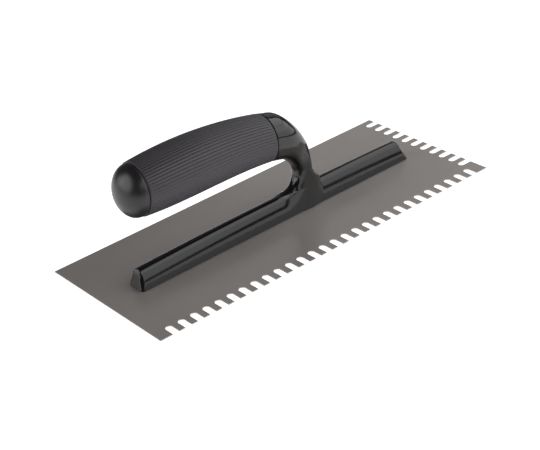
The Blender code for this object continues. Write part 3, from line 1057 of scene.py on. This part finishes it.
# The floor's glow starts to fade at the first distance from the middle, and ends at the second
GLOW_NEAR, GLOW_FAR = 0.36, 1.2
BLACK, WHITE = (0, 0, 0), (1, 1, 1)
SENSOR_WIDTH = 36.0
# The camera's place, seen from the point on the blade's top that it looks at, and its roll
CAMERA_AZIMUTH, CAMERA_ELEVATION, CAMERA_ROLL = -0.622484903, 0.516746015, -0.128245036
CAMERA_DISTANCE = 1.00733782
CAMERA_TARGET = Vector((-0.00892009, -0.00388642, TOP_OF_BLADE))


def direction(azimuth, elevation):
    """The unit vector from the middle towards an azimuth and an elevation, in radians."""
    level = math.cos(elevation)
    return Vector((math.sin(azimuth) * level, -math.cos(azimuth) * level, math.sin(elevation)))


def add_softbox(name, outline, azimuth, elevation, distance, width, height, brightness):
    """A flat light that faces the object, given by the angles that it fills."""
    half_angles = (math.radians(width) / 2, math.radians(height) / 2)
    across, upwards = (2 * distance * math.tan(half) for half in half_angles)
    data = bpy.data.lights.new(name, "AREA")
    data.shape = outline
    data.size, data.size_y = across, upwards
    area = across * upwards * (math.pi / 4 if outline == "ELLIPSE" else 1)
    data.energy = WATTS * brightness * area
    light = add_object(name, data)
    away = direction(math.radians(azimuth), math.radians(elevation))
    light.location = away * distance
    light.rotation_mode = "QUATERNION"
    light.rotation_quaternion = away.to_track_quat("Z", "Y")
    light.visible_camera = False


def floor_material(settings):
    """A pale matt floor that glows near the object, and all over where the camera sees it."""
    made, tree, shader, place = new_material("pale_floor")
    distance = put(tree, "ShaderNodeVectorMath", Vector=place)
    distance.operation = "LENGTH"
    near = remap(
        tree, distance.outputs["Value"], low=GLOW_NEAR, high=GLOW_FAR, to_low=1.0, to_high=0.0
    )
    seen = tree.nodes.new("ShaderNodeLightPath").outputs["Is Camera Ray"]
    glow = blend(tree, calculate(tree, "MAXIMUM", near, seen), BLACK, WHITE)
    tree.links.new(glow, shader.inputs["Emission Color"])
    shader.inputs["Base Color"].default_value = (*settings.floor_colour, 1)
    shader.inputs["Roughness"].default_value = FLOOR_ROUGHNESS
    shader.inputs["Specular IOR Level"].default_value = 0.0
    shader.inputs["Emission Strength"].default_value = settings.floor_glow
    return made


def floor_mesh(settings):
    radius, level = settings.floor_radius, BLADE_LOW.z - FLOOR_DROP
    turns = np.linspace(0, 2 * math.pi, FLOOR_SIDES, endpoint=False)
    ring = [(radius * math.cos(turn), radius * math.sin(turn), level) for turn in turns]
    mesh = bpy.data.meshes.new("floor")
    mesh.from_pydata(ring, [], [tuple(range(FLOOR_SIDES))])
    mesh.materials.append(floor_material(settings))
    return mesh


def studio_world(settings):
    """A dim studio all round, behind which the camera sees a pale backdrop."""
    world = bpy.data.worlds.new("studio")
    world.use_nodes = True
    tree = world.node_tree
    seen = tree.nodes.new("ShaderNodeLightPath").outputs["Is Camera Ray"]
    pale = blend(tree, seen, (settings.surround,) * 3, (settings.backdrop,) * 3)
    tree.links.new(pale, tree.nodes["Background"].inputs["Color"])
    return world


def add_camera(settings):
    """The camera at the photograph's viewing angle."""
    data = bpy.data.cameras.new("camera")
    data.sensor_fit = "HORIZONTAL"
    data.sensor_width = SENSOR_WIDTH
    data.lens = settings.focal_length
    camera = add_object("camera", data)
    away = direction(CAMERA_AZIMUTH, CAMERA_ELEVATION)
    right = (-away).cross(Vector((0, 0, 1))).normalized()
    up = right.cross(-away)
    turned_right = right * math.cos(CAMERA_ROLL) + up * math.sin(CAMERA_ROLL)
    turned_up = up * math.cos(CAMERA_ROLL) - right * math.sin(CAMERA_ROLL)
    turn = Matrix((turned_right, turned_up, away)).transposed()
    place = CAMERA_TARGET + away * CAMERA_DISTANCE
    camera.matrix_world = Matrix.Translation(place) @ turn.to_4x4()
    return camera


class TROWEL_OT_stage(bpy.types.Operator):
    """Set the floor, the lights and the camera"""

    bl_idname = "trowel.stage"
    bl_label = "Stage"

    def execute(self, context):
        settings = context.scene.trowel_stage
        floor = add_object("floor", floor_mesh(settings))
        context.scene.world = studio_world(settings)
        for softbox in SOFTBOXES:
            add_softbox(*softbox)
        context.scene.camera = add_camera(settings)
        context.scene.view_settings.view_transform = "Standard"
        return {"FINISHED"}


class TROWEL_PT_sidebar(bpy.types.Panel):
    """Lists the trowel's pieces and their settings"""

    bl_idname = "TROWEL_PT_sidebar"
    bl_label = "Notched Trowel"
    bl_space_type = "VIEW_3D"
    bl_region_type = "UI"
    bl_category = "Trowel"

    def draw(self, context):
        for operator in OPERATORS:
            self.layout.operator(operator.bl_idname)
        for name, group in SETTINGS.items():
            box = self.layout.box()
            box.label(text=group.__doc__)
            for key in group.__annotations__:
                box.prop(getattr(context.scene, name), key)


SETTINGS = {
    "trowel_blade": BladeSettings,
    "trowel_shank": ShankSettings,
    "trowel_grip": GripSettings,
    "trowel_studs": StudSettings,
    "trowel_stage": StageSettings,
}
OPERATORS = (
    TROWEL_OT_blade,
    TROWEL_OT_shank,
    TROWEL_OT_sleeve,
    TROWEL_OT_cap,
    TROWEL_OT_studs,
    TROWEL_OT_stage,
)


def register():
    for made in (*SETTINGS.values(), *OPERATORS, TROWEL_PT_sidebar):
        bpy.utils.register_class(made)
    for name, group in SETTINGS.items():
        setattr(bpy.types.Scene, name, PointerProperty(type=group))


def unregister():
    for name in SETTINGS:
        delattr(bpy.types.Scene, name)
    for made in reversed((*SETTINGS.values(), *OPERATORS, TROWEL_PT_sidebar)):
        bpy.utils.unregister_class(made)


def main():
    register()
    bpy.ops.trowel.blade()
    bpy.ops.trowel.shank()
    bpy.ops.trowel.sleeve()
    bpy.ops.trowel.cap()
    bpy.ops.trowel.studs()
    bpy.ops.trowel.stage()


if __name__ == "__main__":
    main()
